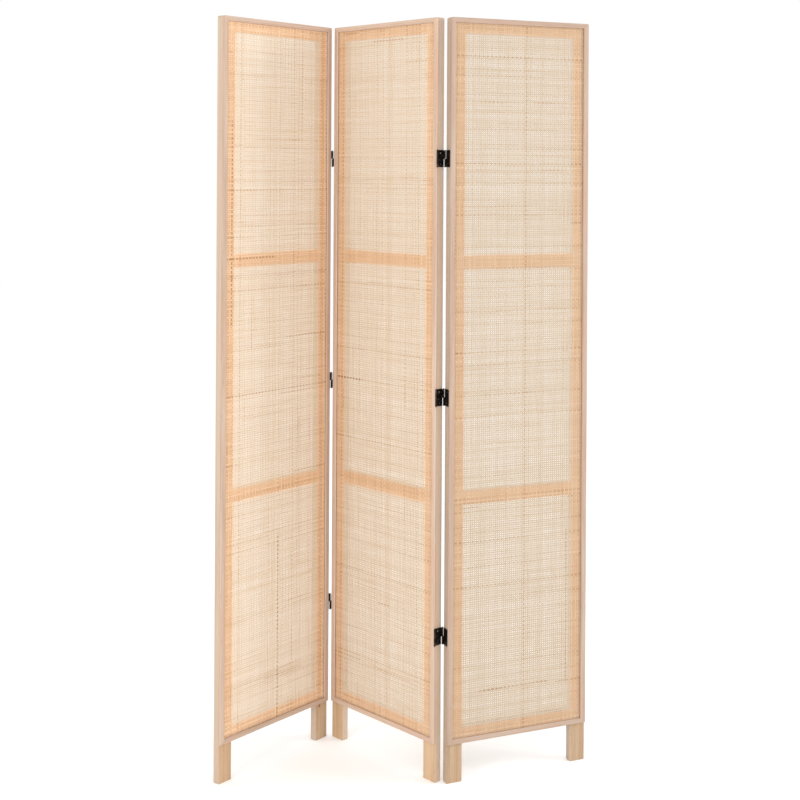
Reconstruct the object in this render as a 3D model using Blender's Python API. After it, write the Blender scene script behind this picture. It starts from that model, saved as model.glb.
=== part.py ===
"""Three-panel folding room divider: wooden frames, woven cane sheets and two-way hinges.

Units are metres, +Z is up and the screen stands on z = 0, folded into a zigzag with its
show side towards -Y. Each panel has a main frame (two stiles that run down as legs, four
rails), a woven sheet laid on its front, and a slim moulding that covers the sheet's edge.
Two hinge lines join the panels. A two-way hinge has a left leaf on the front pin and a
right leaf on the rear pin, with a Z-shaped link between the two pins.
"""

import math

import bmesh
import bpy
from mathutils import Matrix, Vector

# Overall sizes of one panel.
PANEL_WIDTH = 0.352
PANEL_HEIGHT = 1.700
LEG_LENGTH = 0.086

# Timber of the main frame.
FRAME_DEPTH = 0.0170
STILE_WIDTH = 0.0385
END_RAIL_HEIGHT = 0.0340
CROSS_RAIL_HEIGHT = 0.0270
FRAME_ROUND = 0.0015
FOOT_ROUND = 0.0020
CORNER_ROUND = 0.0050

# Moulding that frames the woven sheet.
MOULDING_WIDTH = 0.0132
MOULDING_RAIL_HEIGHT = 0.0115
MOULDING_DEPTH = 0.0050
MOULDING_ROUND = 0.0022
REBATE_WIDTH = 0.0080

# Woven sheet, and the room beside its edge in the rebate.
SHEET_THICKNESS = 0.0014
SHEET_MARGIN = 0.0010

# Gap kept between touching pieces.
FIT = 0.0003

# Two-way hinges.
PANEL_GAP = 0.0052
HINGE_HEIGHT = 0.0380
HINGE_TOP_DROP = 0.314
HINGE_BOTTOM_RISE = 0.238
HINGES_PER_LINE = ("top", "middle", "bottom")
PIN_STAND_OFF = 0.0010
PIN_RADIUS = 0.0009
PIN_PLAY = 0.0002
PIN_OVERHANG = 0.0008
LEAF_THICKNESS = 0.0010
LEAF_ROUND = 0.0015
LEAF_TO_BARREL = 0.0008
LINK_THICKNESS = 0.0010
SCREW_INSET = 0.0070
SCREW_HOLE_RADIUS = 0.0014

# How the screen stands: the middle panel's turn, and each line's fold from flat, in degrees.
MIDDLE_TURN = -46.7
FOLD_1 = 97.1
FOLD_2 = 69.9

ARC_STEPS = 4
BARREL_SEGMENTS = 20

# Derived sizes.
PANEL_DEPTH = MOULDING_DEPTH + FIT + FRAME_DEPTH
FRONT = -PANEL_DEPTH / 2
BACK = PANEL_DEPTH / 2
FRAME_FRONT = BACK - FRAME_DEPTH
PIN_Y = PANEL_DEPTH / 2 + PIN_STAND_OFF
BARREL_RADIUS = PANEL_GAP / 2 - FIT - LEAF_THICKNESS / 2
LEAF_REACH = PIN_Y - BARREL_RADIUS - LEAF_TO_BARREL
SCREW_SINK_RADIUS = SCREW_HOLE_RADIUS + LEAF_THICKNESS
SHEET_TUCK = REBATE_WIDTH - SHEET_MARGIN
HINGE_PITCH = (PANEL_HEIGHT - LEG_LENGTH - HINGE_TOP_DROP - HINGE_BOTTOM_RISE) / 2
INNER_WIDTH = PANEL_WIDTH - 2 * STILE_WIDTH
FIELD_HEIGHT = (
    PANEL_HEIGHT - LEG_LENGTH - 2 * END_RAIL_HEIGHT - 2 * CROSS_RAIL_HEIGHT
) / 3

COLLECTION = "folding_room_divider"

LOOKS = {
    "moulding_wood": ((0.640, 0.460, 0.330), 0.55, 0.0),
    "frame_wood": ((0.660, 0.420, 0.220), 0.60, 0.0),
    "woven_cane": ((0.800, 0.640, 0.440), 0.65, 0.0),
    "hinge_metal": ((0.020, 0.012, 0.006), 0.40, 0.9),
}


def clear_scene():
    """Empty the file of every object."""
    for old in list(bpy.data.objects):
        bpy.data.objects.remove(old, do_unlink=True)


def make_collection(name):
    """A collection linked to the scene."""
    collection = bpy.data.collections.new(name)
    bpy.context.scene.collection.children.link(collection)
    return collection


def make_material(name, colour, roughness, metallic):
    """A plain Principled material."""
    material = bpy.data.materials.new(name)
    material.use_nodes = True
    shader = material.node_tree.nodes["Principled BSDF"]
    shader.inputs["Base Color"].default_value = (*colour, 1.0)
    shader.inputs["Roughness"].default_value = roughness
    shader.inputs["Metallic"].default_value = metallic
    material.diffuse_color = (*colour, 1.0)
    return material


def make_empty(name, parent, location=(0, 0, 0), turn=0.0):
    """An axis or a panel's own frame, turned about the vertical by turn degrees."""
    empty = bpy.data.objects.new(name, None)
    empty.empty_display_size = 0.03
    empty.parent = parent
    empty.location = location
    empty.rotation_euler = (0, 0, math.radians(turn))
    PARTS.objects.link(empty)
    return empty


def place(name, mesh, parent, location, material):
    """One piece of the screen, shaded smooth where it is round."""
    mesh.name = name
    mesh.materials.clear()
    mesh.materials.append(MATERIALS[material])
    mesh.shade_smooth()
    mesh.set_sharp_from_angle(angle=math.radians(35))
    piece = bpy.data.objects.new(name, mesh)
    piece.parent = parent
    piece.location = location
    PARTS.objects.link(piece)
    return piece


def rounded(corners):
    """An outline from (a, b, radius) corners, each round one as an arc."""
    outline = []
    count = len(corners)
    for i, (a, b, radius) in enumerate(corners):
        corner = Vector((a, b, 0))
        if radius == 0:
            outline.append(corner)
            continue
        before = (Vector((*corners[i - 1][:2], 0)) - corner).normalized()
        after = (Vector((*corners[(i + 1) % count][:2], 0)) - corner).normalized()
        half = before.angle(after) / 2
        centre = corner + (before + after).normalized() * radius / math.sin(half)
        start = corner + before * radius / math.tan(half) - centre
        end = corner + after * radius / math.tan(half) - centre
        for k in range(ARC_STEPS + 1):
            spoke = start.slerp(end, k / ARC_STEPS).normalized()
            outline.append(centre + spoke * radius)
    return outline


def rectangle(a0, a1, b0, b1, radius=0.0):
    """The four corners of a rectangle, all with one radius."""
    return [(a0, b0, radius), (a1, b0, radius), (a1, b1, radius), (a0, b1, radius)]


def prism(corners, low, high, along):
    """A mesh that extends an outline from low to high along X, Y or Z.

    The outline's two directions are Y and Z for X, Z and X for Y, and X and Y for Z.
    """
    curve = bpy.data.curves.new("outline", "CURVE")
    curve.dimensions = "2D"
    curve.fill_mode = "BOTH"
    curve.extrude = (high - low) / 2
    outline = rounded(corners)
    spline = curve.splines.new("POLY")
    spline.points.add(len(outline) - 1)
    for point, at in zip(spline.points, outline):
        point.co = (*at, 1)
    spline.use_cyclic_u = True
    guide = bpy.data.objects.new("outline", curve)
    PARTS.objects.link(guide)
    depsgraph = bpy.context.evaluated_depsgraph_get()
    mesh = bpy.data.meshes.new_from_object(guide.evaluated_get(depsgraph))
    bpy.data.objects.remove(guide)
    bpy.data.curves.remove(curve)
    turn = {
        "Z": Matrix.Identity(3),
        "X": Matrix(((0, 0, 1), (1, 0, 0), (0, 1, 0))),
        "Y": Matrix(((0, 1, 0), (0, 0, 1), (1, 0, 0))),
    }[along]
    mesh.transform(turn.to_4x4() @ Matrix.Translation((0, 0, (low + high) / 2)))
    shape = bmesh.new()
    shape.from_mesh(mesh)
    bmesh.ops.remove_doubles(shape, verts=shape.verts, dist=1e-6)
    bmesh.ops.recalc_face_normals(shape, faces=shape.faces)
    shape.to_mesh(mesh)
    shape.free()
    return mesh


def rod(radius, low, high, y=0.0, end_radius=None, along="Z"):
    """A mesh of a round bar or cone from low to high along Z or X.

    y is how far its centre line lies from the axis: in Y for a bar along Z, and in Z for
    a bar along X.
    """
    shape = bmesh.new()
    bmesh.ops.create_cone(
        shape,
        cap_ends=True,
        segments=BARREL_SEGMENTS,
        radius1=radius,
        radius2=radius if end_radius is None else end_radius,
        depth=high - low,
    )
    mesh = bpy.data.meshes.new("rod")
    shape.to_mesh(mesh)
    shape.free()
    mesh.transform(Matrix.Translation((0, y, (low + high) / 2)))
    if along == "X":
        mesh.transform(Matrix(((0, 0, 1), (1, 0, 0), (0, 1, 0))).to_4x4())
    return mesh


def combine(meshes, operation):
    """One mesh from a first mesh and the Boolean of each later one."""
    objects = [bpy.data.objects.new("cut", mesh) for mesh in meshes]
    for cut in objects:
        CUTTERS.objects.link(cut)
    base = objects[0]
    for cut in objects[1:]:
        step = base.modifiers.new("join", "BOOLEAN")
        step.operation = operation
        step.solver = "EXACT"
        step.object = cut
    depsgraph = bpy.context.evaluated_depsgraph_get()
    result = bpy.data.meshes.new_from_object(base.evaluated_get(depsgraph))
    for cut in objects:
        bpy.data.objects.remove(cut)
    for mesh in meshes:
        bpy.data.meshes.remove(mesh)
    return result


def panel_outline():
    """The panel seen from the front, as a block with rounded top corners."""
    half = PANEL_WIDTH / 2
    corners = [
        (0, -half, 0),
        (PANEL_HEIGHT, -half, CORNER_ROUND),
        (PANEL_HEIGHT, half, CORNER_ROUND),
        (0, half, 0),
    ]
    return prism(corners, 2 * FRONT, 2 * BACK, "Y")


def build_main_frame(panel, frame):
    """Two stiles that are the legs, the end rails and the two cross rails."""
    half = PANEL_WIDTH / 2
    middle = (FRAME_FRONT + BACK) / 2
    for side, sign in (("left", -1), ("right", 1)):
        section = rectangle(-half, STILE_WIDTH - half, FRAME_FRONT, BACK, FRAME_ROUND)
        shaft = prism(section, 0, PANEL_HEIGHT, "Z")
        foot = prism(
            [
                (0, -half, FOOT_ROUND),
                (2 * PANEL_HEIGHT, -half, 0),
                (2 * PANEL_HEIGHT, STILE_WIDTH - half, 0),
                (0, STILE_WIDTH - half, FOOT_ROUND),
            ],
            2 * FRONT,
            2 * BACK,
            "Y",
        )
        stile = combine([shaft, foot, panel_outline()], "INTERSECT")
        if sign > 0:
            stile.transform(Matrix.Rotation(math.pi, 4, "Z"))
            stile.transform(Matrix.Translation((0, 2 * middle, 0)))
        place(f"{panel}_{side}_leg_stile", stile, frame, (0, 0, 0), "frame_wood")

    reach = INNER_WIDTH / 2 - FIT
    heights = (
        ("bottom_rail", LEG_LENGTH, END_RAIL_HEIGHT),
        ("lower_cross_rail", LEG_LENGTH + END_RAIL_HEIGHT + FIELD_HEIGHT, CROSS_RAIL_HEIGHT),
        (
            "upper_cross_rail",
            PANEL_HEIGHT - END_RAIL_HEIGHT - FIELD_HEIGHT - CROSS_RAIL_HEIGHT,
            CROSS_RAIL_HEIGHT,
        ),
        ("top_rail", PANEL_HEIGHT - END_RAIL_HEIGHT, END_RAIL_HEIGHT),
    )
    for name, low, height in heights:
        section = rectangle(FRAME_FRONT, BACK, low, low + height, FRAME_ROUND)
        rail = prism(section, -reach, reach, "X")
        place(f"{panel}_{name}", rail, frame, (0, 0, 0), "frame_wood")


def moulding_section(a_out, a_in, front, back):
    """A strip's section from its outer edge to its inner one, rebated for the sheet."""
    floor = back - SHEET_THICKNESS - FIT
    step = a_in + math.copysign(REBATE_WIDTH, a_out - a_in)
    return [
        (a_out, front, MOULDING_ROUND),
        (a_in, front, MOULDING_ROUND),
        (a_in, floor, 0),
        (step, floor, 0),
        (step, back, 0),
        (a_out, back, 0),
    ]


def mitre_outline(side):
    """The room between the mitre lines for one strip, in (z, x) corners a little larger than the strip.

    A mitre runs from the moulding's outer corner to its inner one, and half of the gap lies on each
    side of it."""
    half = PANEL_WIDTH / 2
    slope = MOULDING_RAIL_HEIGHT / MOULDING_WIDTH
    gap = FIT / 2 * math.hypot(1, slope)
    over = 0.001
    if side in ("left", "right"):
        sign = -1 if side == "left" else 1
        outer, inner = -over, MOULDING_WIDTH + over
        return [
            (LEG_LENGTH + gap + slope * outer, sign * (half - outer), 0),
            (LEG_LENGTH + gap + slope * inner, sign * (half - inner), 0),
            (PANEL_HEIGHT - gap - slope * inner, sign * (half - inner), 0),
            (PANEL_HEIGHT - gap - slope * outer, sign * (half - outer), 0),
        ]
    edge, sign = (LEG_LENGTH, 1) if side == "bottom" else (PANEL_HEIGHT, -1)
    outer, inner = -over, MOULDING_RAIL_HEIGHT + over
    reaches = [(depth, half - (depth + gap) / slope) for depth in (outer, inner)]
    return [
        (edge + sign * reaches[0][0], -reaches[0][1], 0),
        (edge + sign * reaches[0][0], reaches[0][1], 0),
        (edge + sign * reaches[1][0], reaches[1][1], 0),
        (edge + sign * reaches[1][0], -reaches[1][1], 0),
    ]


def build_moulding(panel, frame):
    """Four strips, mitred at their corners, on the front of the frame."""
    half = PANEL_WIDTH / 2
    back = FRONT + MOULDING_DEPTH
    for side, outer, inner in (
        ("left", -half, -half + MOULDING_WIDTH),
        ("right", half, half - MOULDING_WIDTH),
        ("bottom", LEG_LENGTH, LEG_LENGTH + MOULDING_RAIL_HEIGHT),
        ("top", PANEL_HEIGHT, PANEL_HEIGHT - MOULDING_RAIL_HEIGHT),
    ):
        section = moulding_section(outer, inner, FRONT, back)
        if side in ("left", "right"):
            strip = prism(section, LEG_LENGTH, PANEL_HEIGHT, "Z")
        else:
            strip = prism([(b, a, r) for a, b, r in section], -half, half, "X")
        room = prism(mitre_outline(side), FRONT - 0.001, back + 0.001, "Y")
        strip = combine([strip, room, panel_outline()], "INTERSECT")
        place(f"{panel}_{side}_moulding", strip, frame, (0, 0, 0), "moulding_wood")


def build_sheet(panel, frame):
    """The woven cane, as a thin plain sheet whose edge lies in the moulding's rebate."""
    side = PANEL_WIDTH / 2 - MOULDING_WIDTH + SHEET_TUCK
    low = LEG_LENGTH + MOULDING_RAIL_HEIGHT - SHEET_TUCK
    high = PANEL_HEIGHT - MOULDING_RAIL_HEIGHT + SHEET_TUCK
    back = FRAME_FRONT - FIT
    outline = rectangle(low, high, -side, side)
    sheet = prism(outline, back - SHEET_THICKNESS, back, "Y")
    place(f"{panel}_woven_sheet", sheet, frame, (0, 0, 0), "woven_cane")


def countersink(sign, outer, inner, z):
    """A cone that widens at 45 degrees from a leaf's wood side to its open side."""
    past = FIT / 2
    ends = [
        (outer + sign * past, SCREW_HOLE_RADIUS - past),
        (inner - sign * past, SCREW_SINK_RADIUS + past),
    ]
    (low, low_radius), (high, high_radius) = sorted(ends)
    return rod(low_radius, low, high, y=z, end_radius=high_radius, along="X")


def hinge_leaf(sign):
    """A leaf plate against a stile's side, with its barrel on one pin.

    The left leaf, sign -1, has its barrel in front and on top. The right leaf, sign 1,
    has its barrel behind and below.
    """
    half = HINGE_HEIGHT / 2
    outer = sign * (PANEL_GAP / 2 - FIT)
    inner = outer - sign * LEAF_THICKNESS
    sides = sorted((outer, inner))
    outline = rectangle(-LEAF_REACH, LEAF_REACH, -half, half, LEAF_ROUND)
    plate = prism(outline, *sides, "X")
    pin_y = sign * PIN_Y
    low, high = sorted((-sign * half, -sign * FIT))
    barrel = rod(BARREL_RADIUS, low, high, y=pin_y)
    web_outline = rectangle(*sides, *sorted((pin_y, sign * LEAF_REACH / 2)))
    web = prism(web_outline, low, high, "Z")
    solid = combine([plate, web, barrel], "UNION")
    cuts = [rod(PIN_RADIUS + PIN_PLAY, -HINGE_HEIGHT, HINGE_HEIGHT, y=pin_y)]
    for z in (SCREW_INSET - half, half - SCREW_INSET):
        cuts.append(countersink(sign, outer, inner, z))
    return combine([solid, *cuts], "DIFFERENCE")


def hinge_link():
    """The Z-shaped plate with a barrel on each pin, and the two pins fixed in it."""
    half = HINGE_HEIGHT / 2
    edge = PIN_Y - BARREL_RADIUS - FIT
    outline = [
        (-PIN_Y, -half, 0),
        (-edge, -half, 0),
        (edge, FIT, 0),
        (PIN_Y, FIT, 0),
        (PIN_Y, half, 0),
        (edge, half, 0),
        (-edge, -FIT, 0),
        (-PIN_Y, -FIT, 0),
    ]
    solids = [prism(outline, -LINK_THICKNESS / 2, LINK_THICKNESS / 2, "X")]
    for sign in (-1, 1):
        low, high = sorted((sign * half, sign * FIT))
        solids.append(rod(BARREL_RADIUS, low, high, y=sign * PIN_Y))
        end = half + PIN_OVERHANG
        solids.append(rod(PIN_RADIUS, -end, end, y=sign * PIN_Y))
    return combine(solids, "UNION")


def build_hinges(line, left_frame, axis, link_pin_y, right_frame):
    """Three hinges of one line, each with its two leaves and its link.

    A leaf sits on its panel, and a link on the line's middle-panel axis, whose pin is at
    link_pin_y in the hinge's own frame.
    """
    across = (PANEL_WIDTH + PANEL_GAP) / 2
    for i, spot in enumerate(HINGES_PER_LINE):
        z = PANEL_HEIGHT - HINGE_TOP_DROP - i * HINGE_PITCH
        name = f"hinge_{line}_{spot}"
        place(f"{name}_left_leaf", hinge_leaf(-1), left_frame, (across, 0, z), "hinge_metal")
        place(f"{name}_right_leaf", hinge_leaf(1), right_frame, (-across, 0, z), "hinge_metal")
        place(f"{name}_link", hinge_link(), axis, (0, -link_pin_y, z), "hinge_metal")


def stand_at_origin(root):
    """Move the whole screen so that its box's bottom centre is the origin."""
    depsgraph = bpy.context.evaluated_depsgraph_get()
    corners = [
        piece.matrix_world @ vertex.co
        for piece in PARTS.objects
        if piece.type == "MESH"
        for vertex in piece.evaluated_get(depsgraph).data.vertices
    ]
    for i in range(2):
        values = [corner[i] for corner in corners]
        root.location[i] -= (min(values) + max(values)) / 2


def build_screen():
    """The three panels on their four pin axes, and everything that they carry."""
    across = (PANEL_WIDTH + PANEL_GAP) / 2
    middle = make_empty("middle_panel", None, turn=MIDDLE_TURN)
    rear_1 = make_empty("hinge_1_rear_axis", middle, (-across, PIN_Y, 0))
    front_1 = make_empty("hinge_1_front_axis", rear_1, (0, -2 * PIN_Y, 0), FOLD_1)
    left = make_empty("left_panel", front_1, (-across, PIN_Y, 0))
    front_2 = make_empty("hinge_2_front_axis", middle, (across, -PIN_Y, 0))
    rear_2 = make_empty("hinge_2_rear_axis", front_2, (0, 2 * PIN_Y, 0), FOLD_2)
    right = make_empty("right_panel", rear_2, (across, -PIN_Y, 0))
    for panel, frame in (("left", left), ("middle", middle), ("right", right)):
        build_main_frame(panel, frame)
        build_moulding(panel, frame)
        build_sheet(panel, frame)
    build_hinges(1, left, rear_1, PIN_Y, middle)
    build_hinges(2, middle, front_2, -PIN_Y, right)
    stand_at_origin(middle)


clear_scene()
PARTS = make_collection(COLLECTION)
CUTTERS = make_collection("cutters")
MATERIALS = {name: make_material(name, *look) for name, look in LOOKS.items()}
build_screen()
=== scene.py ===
"""Folding room divider screen: cane weave, wood, hinge metal, screws, light and camera on the CAD frame."""

import math

import bmesh
import bpy
import numpy as np
from mathutils import Euler, Matrix, Vector


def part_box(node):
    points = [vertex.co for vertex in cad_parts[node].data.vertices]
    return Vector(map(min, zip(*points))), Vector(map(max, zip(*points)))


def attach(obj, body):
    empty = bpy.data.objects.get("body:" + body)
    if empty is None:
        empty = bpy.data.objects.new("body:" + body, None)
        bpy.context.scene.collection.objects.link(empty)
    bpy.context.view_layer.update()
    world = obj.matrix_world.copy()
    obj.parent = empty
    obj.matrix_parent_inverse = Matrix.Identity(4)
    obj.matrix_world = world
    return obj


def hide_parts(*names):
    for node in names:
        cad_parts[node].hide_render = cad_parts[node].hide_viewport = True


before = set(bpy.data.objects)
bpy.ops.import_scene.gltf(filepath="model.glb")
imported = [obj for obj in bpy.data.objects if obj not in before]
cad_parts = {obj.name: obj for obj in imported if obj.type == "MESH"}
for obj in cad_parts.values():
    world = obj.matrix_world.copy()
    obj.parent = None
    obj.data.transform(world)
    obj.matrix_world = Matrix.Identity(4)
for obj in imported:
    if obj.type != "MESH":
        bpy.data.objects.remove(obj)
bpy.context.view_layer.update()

PANELS = ("left", "middle", "right")

# Cane weave, in metres.
UPRIGHT_PITCH = 0.0052
CROSSWISE_PITCH = 0.0048
STRAND_WIDTH = 0.0036
STRAND_THICKNESS = 0.00036
WEAVE_RISE = 0.00022
STRAND_WANDER = 0.00028
WEAVE_INSET = 0.0020
WEAVE_CLEARANCE = 0.00004

# Strand tones run from 0, palest, to 1, darkest.
TONE_MEAN = 0.30
TONE_SPREAD = 0.10
TONE_DRIFT = 0.07
WIDTH_SPREAD = 0.08
WIDTH_DRIFT = 0.11
WIDTH_LIMITS = (0.70, 1.25)
TONE_FADE = 0.01

# Glue lines in the moulding mitres: how near a mitre a strip's corner lies, in metres, and the share that
# a line is drawn in by.
MITRE_REACH = 0.00025
GLUE_SHRINK = 0.02

# The knot in one leg: its radius, its place from the stile's edge and below the bottom rail, in metres.
KNOT_RADIUS = 0.0035
KNOT_IN = 0.012
KNOT_DROP = 0.006

# Screws, in metres.
LEAF_THICKNESS = 0.0010
SCREW_RISE = 0.012
SCREW_HEAD_RADIUS = 0.00230
SCREW_NECK_RADIUS = 0.00125
SCREW_SINK = 0.00012
SCREW_SEGMENTS = 32
RECESS_ARM = 0.00135
RECESS_HALF_WIDTH = 0.00032
RECESS_TOP = 0.0004
RECESS_DEPTH = 0.0012


# ---------------------------------------------------------------- the CAD frame

def node_points(name):
    """The vertices of a CAD node, one row each."""
    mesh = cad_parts[name].data
    points = np.empty(len(mesh.vertices) * 3)
    mesh.vertices.foreach_get("co", points)
    return points.reshape(-1, 3)


def centre_of(name):
    """The middle of a CAD node's box."""
    low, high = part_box(name)
    return (Vector(low) + Vector(high)) / 2


def panel_axes(panel):
    """The panel's own frame as a matrix: x from its left stile to its right one, y to its back, z up."""
    left = centre_of(panel + "_left_leg_stile")
    right = centre_of(panel + "_right_leg_stile")
    plan = node_points(panel + "_woven_sheet")[:, :2]
    along = np.linalg.svd(plan - plan.mean(axis=0), full_matrices=False)[2][0]
    along = Vector((along[0], along[1], 0.0))
    if along.dot(right - left) < 0:
        along = -along
    up = Vector((0.0, 0.0, 1.0))
    turn = Matrix((along, up.cross(along), up)).transposed()
    origin = (left + right) / 2
    origin.z = 0.0
    return Matrix.Translation(origin) @ turn.to_4x4()


def local_limits(name, axes):
    """Lowest and highest corner of a CAD node in a panel's own frame."""
    inverse = np.array(axes.inverted())
    points = node_points(name) @ inverse[:3, :3].T + inverse[:3, 3]
    return points.min(axis=0), points.max(axis=0)


# ---------------------------------------------------------------- shader nodes

def srgb(red, green, blue):
    """A linear colour from display values of 0 to 255."""
    def linear(value):
        value = value / 255
        return value / 12.92 if value <= 0.04045 else ((value + 0.055) / 1.055) ** 2.4
    return (linear(red), linear(green), linear(blue), 1.0)


def new_material(name):
    """A material with its node tree and its Principled shader."""
    material = bpy.data.materials.new(name)
    material.use_nodes = True
    return material, material.node_tree, material.node_tree.nodes["Principled BSDF"]


def add(tree, kind, inputs=None, **settings):
    """A new node with its settings and its inputs, which are values or the outputs of other nodes."""
    made = tree.nodes.new(kind)
    for key, value in settings.items():
        setattr(made, key, value)
    for key, value in (inputs or {}).items():
        if isinstance(value, bpy.types.NodeSocket):
            tree.links.new(value, made.inputs[key])
        else:
            made.inputs[key].default_value = value
    return made


def mix(tree, factor, first, second, blend="MIX"):
    """A mix of two colours by a factor."""
    made = tree.nodes.new("ShaderNodeMix")
    made.data_type = "RGBA"
    made.blend_type = blend
    for index, value in ((0, factor), (6, first), (7, second)):
        if isinstance(value, bpy.types.NodeSocket):
            tree.links.new(value, made.inputs[index])
        else:
            made.inputs[index].default_value = value
    return made.outputs[2]


def remap(tree, value, low, high, new_low=0.0, new_high=1.0):
    """A value moved from one range to another, and held inside it."""
    inputs = {"Value": value, "From Min": low, "From Max": high, "To Min": new_low, "To Max": new_high}
    return add(tree, "ShaderNodeMapRange", inputs).outputs["Result"]


def noise(tree, vector, scale, detail=2.0, roughness=0.5):
    """Noise at so many features per metre."""
    inputs = {"Vector": vector, "Scale": scale, "Detail": detail, "Roughness": roughness}
    return add(tree, "ShaderNodeTexNoise", inputs).outputs["Fac"]


def ramp(tree, value, stops):
    """A colour ramp through (position, colour) stops."""
    made = add(tree, "ShaderNodeValToRGB", {"Fac": value})
    elements = made.color_ramp.elements
    while len(elements) < len(stops):
        elements.new(0.5)
    for element, (position, colour) in zip(elements, stops):
        element.position = position
        element.color = colour
    return made.outputs["Color"]


def grey(value):
    """A neutral colour."""
    return (value, value, value, 1.0)


def bump(tree, height, distance, strength=1.0):
    """A normal from a height."""
    inputs = {"Height": height, "Distance": distance, "Strength": strength}
    return add(tree, "ShaderNodeBump", inputs).outputs["Normal"]


def turned_coordinates(tree, turn, origin):
    """Object coordinates seen from an origin along the rows of a turn matrix, in metres."""
    source = add(tree, "ShaderNodeTexCoord").outputs["Object"]
    inputs = {"Vector": source, "Location": -(turn @ origin), "Rotation": turn.to_euler("XYZ")}
    return add(tree, "ShaderNodeMapping", inputs).outputs["Vector"]


def stretched(tree, vector, along):
    """The same coordinates, drawn out along their first axis."""
    return add(tree, "ShaderNodeMapping", {"Vector": vector, "Scale": (along, 1.0, 1.0)}).outputs["Vector"]


# ---------------------------------------------------------------- materials

# Each wood has a pale early colour, a darker late one and a warm drift between them, the distance between
# its rings in metres, and its middle roughness.
WOODS = {
    "moulding_wood": {
        "early": srgb(208, 187, 168), "late": srgb(171, 141, 119), "warm": srgb(200, 159, 138),
        "ring": 0.0034, "rough": 0.52,
    },
    "frame_wood": {
        "early": srgb(207, 183, 153), "late": srgb(163, 129, 94), "warm": srgb(199, 157, 120),
        "ring": 0.0042, "rough": 0.56,
    },
}
# Painted sheen: the leg stiles' side faces are mixed toward this greyer colour, by up to this share, for the
# pale light they reflect at a slant.
SIDE_PAINTED_SHEEN = srgb(198, 182, 168)
SIDE_PAINTED_SHEEN_SHARE = 0.55

# Cane colours by strand tone, with open air behind the weave and with wood behind it, both painted light:
# paler in the open for light shining through from behind, warmer over wood for light thrown back from the
# wood.
CANE_TONES = (0.0, 0.4, 0.7, 1.0)
CANE_OPEN_PAINTED_BACKLIGHT = (srgb(226, 211, 193), srgb(215, 195, 170), srgb(194, 163, 129), srgb(140, 102, 70))
CANE_ON_WOOD_PAINTED_GLOW = (srgb(236, 203, 170), srgb(221, 182, 145), srgb(188, 145, 104), srgb(146, 102, 67))
CANE_FIBRE = srgb(206, 164, 118)

# Painted light and shade: how much lighter or darker each panel's timber and cane are made against the
# colours above, to make up for the lamps lighting the three panels unequally; the real panels share one
# colour.
WOOD_PAINTED_SHADE = {"left": 1.0, "middle": 1.10, "right": 0.85}
CANE_PAINTED_SHADE = {"left": 1.07, "middle": 0.92, "right": 0.755}
KNOT_COLOUR = srgb(128, 84, 52)

# Scale of each figure per metre, and how far it is drawn out along the grain.
RING_WAVE = 0.314
FIGURE_DRAW = 0.045
STREAK_SCALE = 95.0
DRIFT_SCALE, DRIFT_DRAW = 14.0, 0.3
FIBRE_SCALE, FIBRE_DRAW = 1300.0, 0.03
PORE_SCALE, PORE_DRAW = 620.0, 0.09
CANE_FIBRE_SCALE, CANE_FIBRE_DRAW = 2600.0, 0.03
CANE_PATCH_SCALE, CANE_PATCH_DRAW = 160.0, 0.25
MOTTLE_SCALE = 420.0
RUB_SCALE = 150.0
SCRATCH_SCALE, SCRATCH_DRAW = 3200.0, 0.06

# Depth of the relief, in metres.
WOOD_RELIEF = 0.00018
CANE_RELIEF = 0.00010
METAL_RELIEF = 0.00012

# Finish of the hinges and of their screws: the dark colour, the worn one and the middle roughness.
HINGE_FINISH = ((0.030, 0.020, 0.014, 1.0), (0.30, 0.21, 0.14, 1.0), 0.36)
SCREW_FINISH = ((0.050, 0.036, 0.026, 1.0), (0.42, 0.33, 0.25, 1.0), 0.30)


def shaded(colour, shade):
    """The same colour, a little darker or lighter: here by a panel's painted shade."""
    return tuple(value * shade for value in colour[:3]) + (1.0,)


def facing_across(tree, turn):
    """1 where a face looks across the piece, 0 where it looks out of its front or back."""
    facing = add(tree, "ShaderNodeTexCoord").outputs["Normal"]
    across = add(tree, "ShaderNodeVectorMath", {0: facing, 1: turn[1]}, operation="DOT_PRODUCT")
    return add(tree, "ShaderNodeMath", {0: across.outputs["Value"]}, operation="ABSOLUTE").outputs[0]


def distance_from(tree, turn, centre):
    """Distance from a place, shorter along the grain."""
    away = add(
        tree, "ShaderNodeVectorMath", {0: turned_coordinates(tree, turn, centre), 1: (0.6, 1.0, 1.0)},
        operation="MULTIPLY").outputs["Vector"]
    return add(tree, "ShaderNodeVectorMath", {0: away}, operation="LENGTH").outputs["Value"]


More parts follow.
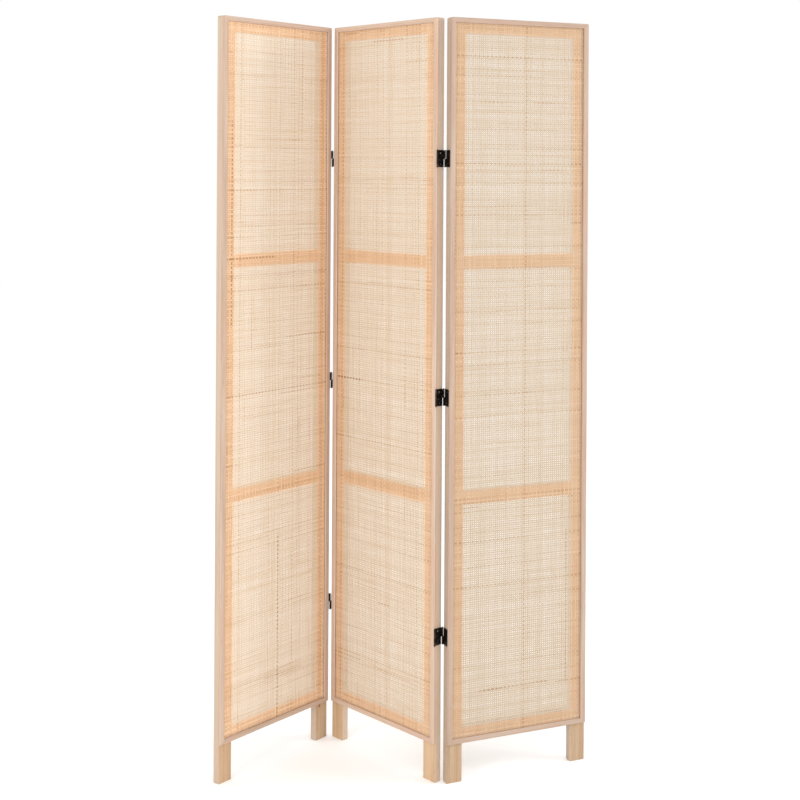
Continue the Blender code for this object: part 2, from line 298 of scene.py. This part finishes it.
def wood_material(name, look, shade, turn, origin, rng, knot=None, sides=False):
    """Pale softwood, sawn from one log: rings about a pith beside the piece, streaks and fibres along it.
    knot is the centre of a knot, if it has one. Where sides is true, its side faces are painted greyer, a
    painted sheen."""
    material, tree, shader = new_material(name)
    # Painted shade: every colour is made lighter or darker by the panel's factor.
    early, late, warm = (shaded(look[key], shade) for key in ("early", "late", "warm"))
    pith = Vector((rng.uniform(-0.5, 0.5), rng.uniform(0.03, 0.08), rng.uniform(-0.06, 0.06)))
    place = turned_coordinates(tree, turn, origin + turn.transposed() @ pith)
    long_place = stretched(tree, place, FIGURE_DRAW)
    saw = add(
        tree, "ShaderNodeTexWave",
        {"Vector": long_place, "Scale": RING_WAVE / look["ring"], "Distortion": 5.0, "Detail": 2.0,
         "Detail Scale": 0.32, "Detail Roughness": 0.55},
        wave_type="RINGS", rings_direction="X", wave_profile="SAW",
    ).outputs["Fac"]
    ring = ramp(tree, saw, [(0.0, grey(0.1)), (0.55, grey(0.28)), (0.9, grey(0.85)), (1.0, grey(0.1))])
    streak = remap(tree, noise(tree, long_place, STREAK_SCALE, 4.0, 0.6), 0.36, 0.66)
    drift = remap(tree, noise(tree, stretched(tree, place, DRIFT_DRAW), DRIFT_SCALE, 2.0), 0.35, 0.7)
    fibre = noise(tree, stretched(tree, place, FIBRE_DRAW), FIBRE_SCALE, 3.0, 0.6)
    pore = remap(tree, noise(tree, stretched(tree, place, PORE_DRAW), PORE_SCALE, 1.0), 0.66, 0.74)

    figure = mix(tree, 0.5, ring, streak)
    colour = mix(tree, figure, early, late)
    colour = mix(tree, remap(tree, drift, 0.0, 1.0, 0.0, 0.45), colour, warm)
    # Painted sheen: faces looking across the piece mix toward a greyer colour.
    if sides:
        share = remap(tree, facing_across(tree, turn), 0.5, 0.9, 0.0, SIDE_PAINTED_SHEEN_SHARE)
        colour = mix(tree, share, colour, shaded(SIDE_PAINTED_SHEEN, shade))
    colour = mix(tree, remap(tree, fibre, 0.3, 0.7, 0.10, 0.0), colour, late, "MULTIPLY")
    colour = mix(tree, remap(tree, pore, 0.0, 1.0, 0.0, 0.22), colour, late, "MULTIPLY")
    if knot is not None:
        far = distance_from(tree, turn, knot)
        inside = remap(tree, far, KNOT_RADIUS, KNOT_RADIUS * 0.4)
        colour = mix(tree, inside, colour, KNOT_COLOUR)
    tree.links.new(colour, shader.inputs["Base Color"])
    rough = remap(tree, fibre, 0.3, 0.7, look["rough"] - 0.08, look["rough"] + 0.08)
    tree.links.new(rough, shader.inputs["Roughness"])
    relief = mix(tree, 0.35, fibre, ring)
    tree.links.new(bump(tree, relief, WOOD_RELIEF, 0.6), shader.inputs["Normal"])
    shader.inputs["Specular IOR Level"].default_value = 0.35
    return material


def cane_material(name, shade, turn, origin):
    """Split cane: a tone per strand, with painted light: paler in the open, warmer over wood; fibres along
    it, satin gloss.
    """
    material, tree, shader = new_material(name)
    place = turned_coordinates(tree, turn, origin)
    tone = add(tree, "ShaderNodeAttribute", attribute_name="strand_tone").outputs["Fac"]
    painted_wood_glow_mask = add(tree, "ShaderNodeAttribute", attribute_name="painted_wood_glow_mask").outputs["Fac"]
    fibre = noise(tree, stretched(tree, place, CANE_FIBRE_DRAW), CANE_FIBRE_SCALE, 2.0, 0.6)
    patch = noise(tree, stretched(tree, place, CANE_PATCH_DRAW), CANE_PATCH_SCALE, 3.0, 0.6)
    spot = remap(tree, patch, 0.3, 0.7, -0.06, 0.06)
    total = add(tree, "ShaderNodeMath", {0: tone, 1: spot}, operation="ADD").outputs[0]
    # Painted light and shade: the open ramp carries a painted backlight, the ramp over wood a painted glow
    # thrown back from the wood, and both the panel's painted shade.
    painted_backlit_colour, painted_wood_glow_colour = (
        ramp(tree, total, [(stop, shaded(colour, shade)) for stop, colour in zip(CANE_TONES, colours)])
        for colours in (CANE_OPEN_PAINTED_BACKLIGHT, CANE_ON_WOOD_PAINTED_GLOW)
    )
    # The painted wood glow takes over where wood lies behind the cane.
    colour = mix(tree, painted_wood_glow_mask, painted_backlit_colour, painted_wood_glow_colour)
    colour = mix(tree, remap(tree, fibre, 0.3, 0.7, 0.12, 0.0), colour, CANE_FIBRE, "MULTIPLY")
    tree.links.new(colour, shader.inputs["Base Color"])
    tree.links.new(remap(tree, fibre, 0.3, 0.7, 0.50, 0.66), shader.inputs["Roughness"])
    tree.links.new(bump(tree, fibre, CANE_RELIEF, 0.5), shader.inputs["Normal"])
    shader.inputs["Specular IOR Level"].default_value = 0.25
    return material


def metal_material(name, dark, worn, rough):
    """Bronzed steel: a mottled dark finish, rubbed brighter in patches, with fine scratches."""
    material, tree, shader = new_material(name)
    place = add(tree, "ShaderNodeTexCoord").outputs["Object"]
    mottle = noise(tree, place, MOTTLE_SCALE, 4.0, 0.65)
    rub = remap(tree, noise(tree, place, RUB_SCALE, 3.0, 0.6), 0.52, 0.72)
    scratch = noise(tree, stretched(tree, place, SCRATCH_DRAW), SCRATCH_SCALE, 2.0)
    colour = mix(tree, remap(tree, mottle, 0.35, 0.65), dark, grey(0.012))
    colour = mix(tree, remap(tree, rub, 0.0, 1.0, 0.0, 0.45), colour, worn)
    tree.links.new(colour, shader.inputs["Base Color"])
    tree.links.new(remap(tree, mottle, 0.3, 0.7, rough - 0.1, rough + 0.1), shader.inputs["Roughness"])
    tree.links.new(bump(tree, mix(tree, 0.4, mottle, scratch), METAL_RELIEF, 0.5), shader.inputs["Normal"])
    shader.inputs["Metallic"].default_value = 0.85
    return material


# ---------------------------------------------------------------- wood pieces

STILES = ("left_leg_stile", "right_leg_stile", "left_moulding", "right_moulding")
RAILS = (
    "bottom_rail", "lower_cross_rail", "upper_cross_rail", "top_rail",
    "bottom_moulding", "top_moulding",
)


def grain_turn(axes, upright):
    """Rows: along the grain, across the face, and out of it."""
    across, back, up = (axes.to_3x3().col[index].copy() for index in range(3))
    if upright:
        return Matrix((up, across, up.cross(across)))
    return Matrix((across, up, across.cross(up)))


def knot_place(panel, node, axes):
    """A place on the front of a leg, close under the bottom rail."""
    rail_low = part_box(panel + "_bottom_rail")[0]
    edge, front = local_limits(node, axes)[0][:2]
    spot = axes @ Vector((edge + KNOT_IN, 0.0, rail_low[2] - KNOT_DROP))
    return spot + axes.to_3x3().col[1] * front


def finish_wood(panel, axes, rng):
    """Each timber's own material, along its own grain."""
    for part in STILES + RAILS:
        node = panel + "_" + part
        look = WOODS["moulding_wood" if part.endswith("moulding") else "frame_wood"]
        has_knot = (panel, part) == ("left", "right_leg_stile")
        knot = knot_place(panel, node, axes) if has_knot else None
        turn = grain_turn(axes, part in STILES)
        # The leg stiles' side faces are given a painted sheen.
        sides = part in ("left_leg_stile", "right_leg_stile")
        material = wood_material(node, look, WOOD_PAINTED_SHADE[panel], turn, centre_of(node), rng, knot, sides)
        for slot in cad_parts[node].material_slots:
            slot.material = material


def fill_mitres(panel, axes, rng):
    """The glue lines in the moulding mitres. Each fills the gap between two strips, a little drawn in."""
    inverse = np.array(axes.inverted())
    shape = bmesh.new()
    for rail, outer_z in (("_top_moulding", 1), ("_bottom_moulding", 0)):
        rail_limits = local_limits(panel + rail, axes)
        for upright, outer_x in (("_left_moulding", 0), ("_right_moulding", 1)):
            limits = local_limits(panel + upright, axes)
            outer = np.array((limits[outer_x][0], rail_limits[outer_z][2]))
            inner = np.array((limits[1 - outer_x][0], rail_limits[1 - outer_z][2]))
            line = (inner - outer) / np.linalg.norm(inner - outer)
            points = np.concatenate([node_points(panel + strip) for strip in (rail, upright)])
            points = points @ inverse[:3, :3].T + inverse[:3, 3]
            away = points[:, [0, 2]] - outer
            off = np.abs(away[:, 0] * line[1] - away[:, 1] * line[0])
            section = points[off < MITRE_REACH]
            section = section + (section.mean(axis=0) - section) * GLUE_SHRINK
            bmesh.ops.convex_hull(shape, input=[shape.verts.new(point) for point in section])
    shape.transform(axes)
    piece = to_object(shape, panel + "_glue_lines")
    look = WOODS["moulding_wood"]
    piece.data.materials.append(wood_material(
        piece.name, look, WOOD_PAINTED_SHADE[panel], Matrix.Identity(3), Vector((0.0, 0.0, 0.0)), rng))
    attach(piece, panel + "_panel")


# ---------------------------------------------------------------- cane

CANE_BACKING = (
    ("_left_leg_stile", 0), ("_right_leg_stile", 0), ("_bottom_rail", 2),
    ("_lower_cross_rail", 2), ("_upper_cross_rail", 2), ("_top_rail", 2),
)


def soft_step(values, start, end, edge):
    """1 between start and end, fading to 0 over edge."""
    return np.clip((values - start) / edge, 0, 1) * np.clip((end - values) / edge, 0, 1)


def slow_change(positions, shortest, longest, rng):
    """Between -1 and 1, drifting along each strand on its own wavelength."""
    phase = rng.uniform(0, 2 * math.pi, (len(positions), 2))
    waves = rng.uniform(shortest, longest, (len(positions), 2))
    first, second = (
        np.sin(positions / waves[:, [index]] * 2 * math.pi + phase[:, [index]]) for index in range(2)
    )
    return (first + second) / 2


def strand_widths(positions, rng):
    """Each strand is a little wider or narrower than the next, and swells and thins along its length."""
    own = rng.normal(0.0, WIDTH_SPREAD, (len(positions), 1))
    drift = WIDTH_DRIFT * slow_change(positions, 0.05, 0.20, rng)
    return STRAND_WIDTH * np.clip(1 + own + drift, *WIDTH_LIMITS)


def strand_tones(positions, rng, dark_share, dark_length):
    """A tone for every ring of every strand: its own, a slow drift, and now and then a darker stretch."""
    count, rings = positions.shape
    span = positions.max() - positions.min()
    tones = TONE_MEAN + rng.normal(0.0, TONE_SPREAD, (count, 1)) + np.zeros((count, rings))
    tones += TONE_DRIFT * slow_change(positions, 0.12, 0.45, rng)
    for index in range(count):
        chance = rng.random()
        if chance < dark_share:
            length = rng.uniform(0.1, 1.0) * dark_length
            start = positions.min() + rng.uniform(-0.2, 1.0) * span
            strength = 0.06 + 0.30 * rng.random() ** 2.5
            tones[index] += strength * soft_step(positions[index], start, start + length, TONE_FADE)
    return np.clip(tones, 0.0, 1.0)


def wood_behind(panel, axes, x, z):
    """1 where a stile or rail lies behind a place on the cane, fading to 0 within a strand of its edge."""
    behind = np.zeros(np.broadcast(x, z).shape)
    for part, axis in CANE_BACKING:
        low, high = local_limits(panel + part, axes)
        edge = UPRIGHT_PITCH / 2
        share = soft_step(x if axis == 0 else z, low[axis] - edge, high[axis] + edge, edge)
        behind = np.maximum(behind, share)
    return behind


def strand_mesh(name, along, across, rise, widths, looks, axes, upright):
    """Strands as one mesh. along, across and rise hold a place for every ring of every strand, in the
    panel's own frame; each ring has four corners, two at the strand's sharp edges and two at its crown."""
    count, rings = along.shape
    half = widths / 2
    thick = STRAND_THICKNESS / 2
    corners = np.zeros((count, rings, 4, 3))
    side = (-half, 0 * half, half, 0 * half)
    crown = (0.0, -thick, 0.0, thick)
    for index in range(4):
        sideways = across + side[index]
        corners[:, :, index, 0] = sideways if upright else along
        corners[:, :, index, 2] = along if upright else sideways
        corners[:, :, index, 1] = rise + crown[index]
    points = corners.reshape(-1, 3)
    matrix = np.array(axes)
    points = points @ matrix[:3, :3].T + matrix[:3, 3]

    first = (np.arange(count)[:, None] * rings + np.arange(rings - 1)[None, :])[:, :, None] * 4
    here = np.arange(4)[None, None, :]
    after = (here + 1) % 4
    sides = np.stack((first + here, first + after, first + 4 + after, first + 4 + here), axis=-1)
    sides = sides.reshape(-1, 4)
    starts = (np.arange(count) * rings * 4)[:, None] + np.array([[3, 2, 1, 0]])
    ends = (np.arange(count) * rings * 4 + (rings - 1) * 4)[:, None] + np.array([[0, 1, 2, 3]])
    faces = np.concatenate((sides, starts, ends))
    if upright:
        faces = faces[:, ::-1]

    mesh = bpy.data.meshes.new(name)
    mesh.vertices.add(len(points))
    mesh.vertices.foreach_set("co", points.ravel())
    mesh.loops.add(faces.size)
    mesh.loops.foreach_set("vertex_index", faces.ravel().astype(np.int32))
    mesh.polygons.add(len(faces))
    mesh.polygons.foreach_set("loop_start", np.arange(0, faces.size, 4, dtype=np.int32))
    mesh.update(calc_edges=True)
    mesh.polygons.foreach_set("use_smooth", np.ones(len(faces), dtype=bool))
    ends = np.empty(len(mesh.edges) * 2, dtype=np.int32)
    mesh.edges.foreach_get("vertices", ends)
    ends = ends.reshape(-1, 2)
    same = (ends[:, 0] - ends[:, 1]) % 4 == 0
    crease = mesh.attributes.new("sharp_edge", "BOOLEAN", "EDGE")
    crease.data.foreach_set("value", same & (ends[:, 0] % 2 == 0))
    for label, values in looks.items():
        layer = mesh.attributes.new(label, "FLOAT", "POINT")
        layer.data.foreach_set("value", np.repeat(values.ravel(), 4).astype(np.float32))
    mesh.validate()
    made = bpy.data.objects.new(name, mesh)
    bpy.context.scene.collection.objects.link(made)
    return made


def weave_cane(panel, axes, rng):
    """Plain weave on the CAD sheet: upright and crosswise strands pass over and under each other."""
    node = panel + "_woven_sheet"
    low, high = local_limits(node, axes)
    middle = high[1] - WEAVE_CLEARANCE - WEAVE_RISE - STRAND_THICKNESS / 2
    xs = np.arange(low[0] + WEAVE_INSET, high[0] - WEAVE_INSET + 1e-6, UPRIGHT_PITCH)
    zs = np.arange(low[2] + WEAVE_INSET, high[2] - WEAVE_INSET + 1e-6, CROSSWISE_PITCH)
    xs = xs + (high[0] + low[0] - xs[0] - xs[-1]) / 2
    zs = zs + (high[2] + low[2] - zs[0] - zs[-1]) / 2
    over = (np.arange(len(xs))[:, None] + np.arange(len(zs))[None, :]) % 2 * 2 - 1

    along = np.repeat(zs[None, :], len(xs), axis=0)
    across = xs[:, None] + STRAND_WANDER * slow_change(along, 0.08, 0.40, rng)
    widths = strand_widths(along, rng)
    # The second look marks where wood lies behind the cane, where its colour carries the painted wood glow.
    looks = {
        "strand_tone": strand_tones(along, rng, 0.24, 0.50),
        "painted_wood_glow_mask": wood_behind(panel, axes, across, along),
    }
    uprights = strand_mesh(
        panel + "_cane_uprights", along, across, middle + WEAVE_RISE * over, widths, looks, axes, True)

    along = np.repeat(xs[None, :], len(zs), axis=0)
    across = zs[:, None] + STRAND_WANDER * slow_change(along, 0.08, 0.40, rng)
    widths = strand_widths(along, rng)
    looks = {
        "strand_tone": strand_tones(along, rng, 0.12, 0.22),
        "painted_wood_glow_mask": wood_behind(panel, axes, along, across),
    }
    crosswise = strand_mesh(
        panel + "_cane_crosswise", along, across, middle - WEAVE_RISE * over.T, widths, looks, axes, False)

    for piece, upright in ((uprights, True), (crosswise, False)):
        piece.data.materials.append(
            cane_material(piece.name, CANE_PAINTED_SHADE[panel], grain_turn(axes, upright), centre_of(node)))
        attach(piece, panel + "_panel")
        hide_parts(node)


# ---------------------------------------------------------------- screws

def lathe(profile, segments):
    """A closed solid turned about z through (radius, height) points, whose ends close in a disc."""
    shape = bmesh.new()
    rings = []
    for radius, height in profile:
        angles = [2 * math.pi * step / segments for step in range(segments)]
        rings.append([shape.verts.new((radius * math.cos(a), radius * math.sin(a), height)) for a in angles])
    for lower, upper in zip(rings, rings[1:]):
        for step in range(segments):
            after = (step + 1) % segments
            shape.faces.new((lower[step], lower[after], upper[after], upper[step]))
    shape.faces.new(rings[0][::-1])
    shape.faces.new(rings[-1])
    return shape


def cross_cutter(arm, width, top, depth):
    """Two tapered blades at right angles, which cut a screw's cross recess."""
    shape = bmesh.new()
    for turn in (0.0, math.pi / 2):
        rows = []
        for height, size in ((top, 1.0), (top - depth, 0.55)):
            corners = ((-arm, -width), (arm, -width), (arm, width), (-arm, width))
            spin = Matrix.Rotation(turn, 3, "Z")
            rows.append([shape.verts.new(spin @ Vector((x * size, y * size, height))) for x, y in corners])
        upper, lower = rows
        shape.faces.new(upper)
        shape.faces.new(lower[::-1])
        for step in range(4):
            after = (step + 1) % 4
            shape.faces.new((upper[after], upper[step], lower[step], lower[after]))
    return shape


def to_object(shape, name):
    """A bmesh as a new object in the scene."""
    mesh = bpy.data.meshes.new(name)
    bmesh.ops.recalc_face_normals(shape, faces=shape.faces)
    shape.to_mesh(mesh)
    shape.free()
    made = bpy.data.objects.new(name, mesh)
    bpy.context.scene.collection.objects.link(made)
    return made


def screw_mesh():
    """One countersunk screw head with its axis on z and its face at the open side of a hinge leaf."""
    face = -SCREW_SINK
    foot = -LEAF_THICKNESS
    profile = (
        (SCREW_NECK_RADIUS, foot), (SCREW_NECK_RADIUS, foot + 0.0001),
        (SCREW_HEAD_RADIUS - 0.0001, face - 0.00018), (SCREW_HEAD_RADIUS, face - 0.00008),
        (SCREW_HEAD_RADIUS - 0.0001, face), (SCREW_HEAD_RADIUS * 0.6, face + 0.00008),
    )
    head = to_object(lathe(profile, SCREW_SEGMENTS), "screw_head")
    cutter = to_object(cross_cutter(RECESS_ARM, RECESS_HALF_WIDTH, RECESS_TOP, RECESS_DEPTH), "screw_recess")
    cut = head.modifiers.new("recess", "BOOLEAN")
    cut.object = cutter
    cut.solver = "EXACT"
    cut.use_self = True
    bpy.context.view_layer.update()
    result = bpy.data.meshes.new_from_object(head.evaluated_get(bpy.context.evaluated_depsgraph_get()))
    for spare in (head, cutter):
        bpy.data.objects.remove(spare)
    return result


def fit_screws(leaf, body, axes, open_side, template, material, rng):
    """Two screws in a hinge leaf. open_side is +1 where the leaf's open face looks along the panel's x."""
    low, high = local_limits(leaf, axes)
    wood_face = low[0] if open_side > 0 else high[0]
    open_face = wood_face + open_side * LEAF_THICKNESS
    middle = (low[2] + high[2]) / 2
    shape = bmesh.new()
    for height in (middle - SCREW_RISE, middle + SCREW_RISE):
        spin = Matrix.Rotation(rng.uniform(0, math.pi), 4, "Z")
        tip = Matrix.Rotation(open_side * math.pi / 2, 4, "Y")
        place = axes @ Matrix.Translation((open_face, 0.0, height)) @ tip @ spin
        copy = template.copy()
        copy.transform(place)
        shape.from_mesh(copy)
        bpy.data.meshes.remove(copy)
    piece = to_object(shape, leaf + "_screws")
    piece.data.materials.append(material)
    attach(piece, body)


def finish_hinges(axes, rng):
    """Metal on every hinge piece, and screws in every leaf."""
    leaf_metal = metal_material("hinge_metal_finish", *HINGE_FINISH)
    screw_metal = metal_material("screw_metal_finish", *SCREW_FINISH)
    template = screw_mesh()
    sides = (
        ("hinge_1", "left_leaf", "left", 1), ("hinge_1", "right_leaf", "middle", -1),
        ("hinge_2", "left_leaf", "middle", 1), ("hinge_2", "right_leaf", "right", -1),
    )
    for name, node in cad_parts.items():
        if name.startswith("hinge_"):
            for slot in node.material_slots:
                slot.material = leaf_metal
    for line, side, panel, open_side in sides:
        for level in ("top", "middle", "bottom"):
            leaf = "_".join((line, level, side))
            fit_screws(leaf, panel + "_panel", axes[panel], open_side, template, screw_metal, rng)
    bpy.data.meshes.remove(template)


# ---------------------------------------------------------------- floor, light and camera

FLOOR_RADIUS = 14.0
FLOOR_DROP = 0.0002
FLOOR_GLOW = 0.12

# Each light's place, size in metres and power in watts. All aim at the middle of the screen.
LIGHTS = {
    "front": ((0.3, -4.6, 1.9), 2.4, 18.0),
    "left": ((-2.2, -2.9, 2.2), 1.8, 36.0),
    "right": ((3.8, -0.3, 2.0), 1.8, 62.0),
}
LIGHT_TARGET = (0.0, 0.0, 0.85)


def make_floor():
    """A plain pale floor."""
    shape = bmesh.new()
    bmesh.ops.create_circle(shape, cap_ends=True, radius=FLOOR_RADIUS, segments=96)
    floor = to_object(shape, "floor")
    floor.location.z = -FLOOR_DROP
    material, tree, shader = new_material("floor_paint")
    place = add(tree, "ShaderNodeTexCoord").outputs["Object"]
    cloud = noise(tree, place, 3.0, 3.0)
    tree.links.new(mix(tree, cloud, grey(0.90), grey(0.93)), shader.inputs["Base Color"])
    shader.inputs["Roughness"].default_value = 0.9
    shader.inputs["Specular IOR Level"].default_value = 0.1
    shader.inputs["Emission Color"].default_value = grey(1.0)
    shader.inputs["Emission Strength"].default_value = FLOOR_GLOW
    floor.data.materials.append(material)


def area_light(name, place, size, power):
    """A soft round light aimed at the screen."""
    data = bpy.data.lights.new(name, "AREA")
    data.shape = "DISK"
    data.size = size
    data.energy = power
    made = bpy.data.objects.new(name, data)
    bpy.context.scene.collection.objects.link(made)
    aim = (Vector(LIGHT_TARGET) - Vector(place)).to_track_quat("-Z", "Y")
    made.matrix_world = Matrix.Translation(place) @ aim.to_matrix().to_4x4()


def make_light():
    """White surroundings and three soft lights."""
    world = bpy.data.worlds.new("studio")
    world.use_nodes = True
    background = world.node_tree.nodes["Background"]
    background.inputs["Color"].default_value = (1.0, 1.0, 1.0, 1.0)
    background.inputs["Strength"].default_value = 1.0
    bpy.context.scene.world = world
    for name, (place, size, power) in LIGHTS.items():
        area_light(name, place, size, power)


# A level camera whose picture is shifted down, with a trace of yaw and roll, in radians.
CAMERA_PLACE = (-0.0091, -3.2419, 1.3588)
CAMERA_LENS = 63.15
CAMERA_DROP = -0.2868
CAMERA_YAW = 0.0017
CAMERA_ROLL = 0.0057


def make_camera():
    """The photograph's viewing angle."""
    data = bpy.data.cameras.new("camera")
    data.sensor_width = 36.0
    data.lens = CAMERA_LENS
    data.shift_y = CAMERA_DROP
    camera = bpy.data.objects.new("camera", data)
    bpy.context.scene.collection.objects.link(camera)
    level = Euler((math.pi / 2, 0.0, CAMERA_YAW)).to_matrix().to_4x4()
    roll = Matrix.Rotation(CAMERA_ROLL, 4, "Z")
    camera.matrix_world = Matrix.Translation(CAMERA_PLACE) @ level @ roll
    bpy.context.scene.camera = camera


# ---------------------------------------------------------------- the scene

def main():
    """Materials, weave and screws on the CAD frame, then the studio."""
    make_camera()
    axes = {panel: panel_axes(panel) for panel in PANELS}
    for index, panel in enumerate(PANELS):
        finish_wood(panel, axes[panel], np.random.default_rng(100 + index))
        fill_mitres(panel, axes[panel], np.random.default_rng(150 + index))
        weave_cane(panel, axes[panel], np.random.default_rng(200 + index))
    finish_hinges(axes, np.random.default_rng(300))
    make_floor()
    make_light()
    bpy.context.scene.view_settings.view_transform = "Standard"


main()
bpy.context.view_layer.update()
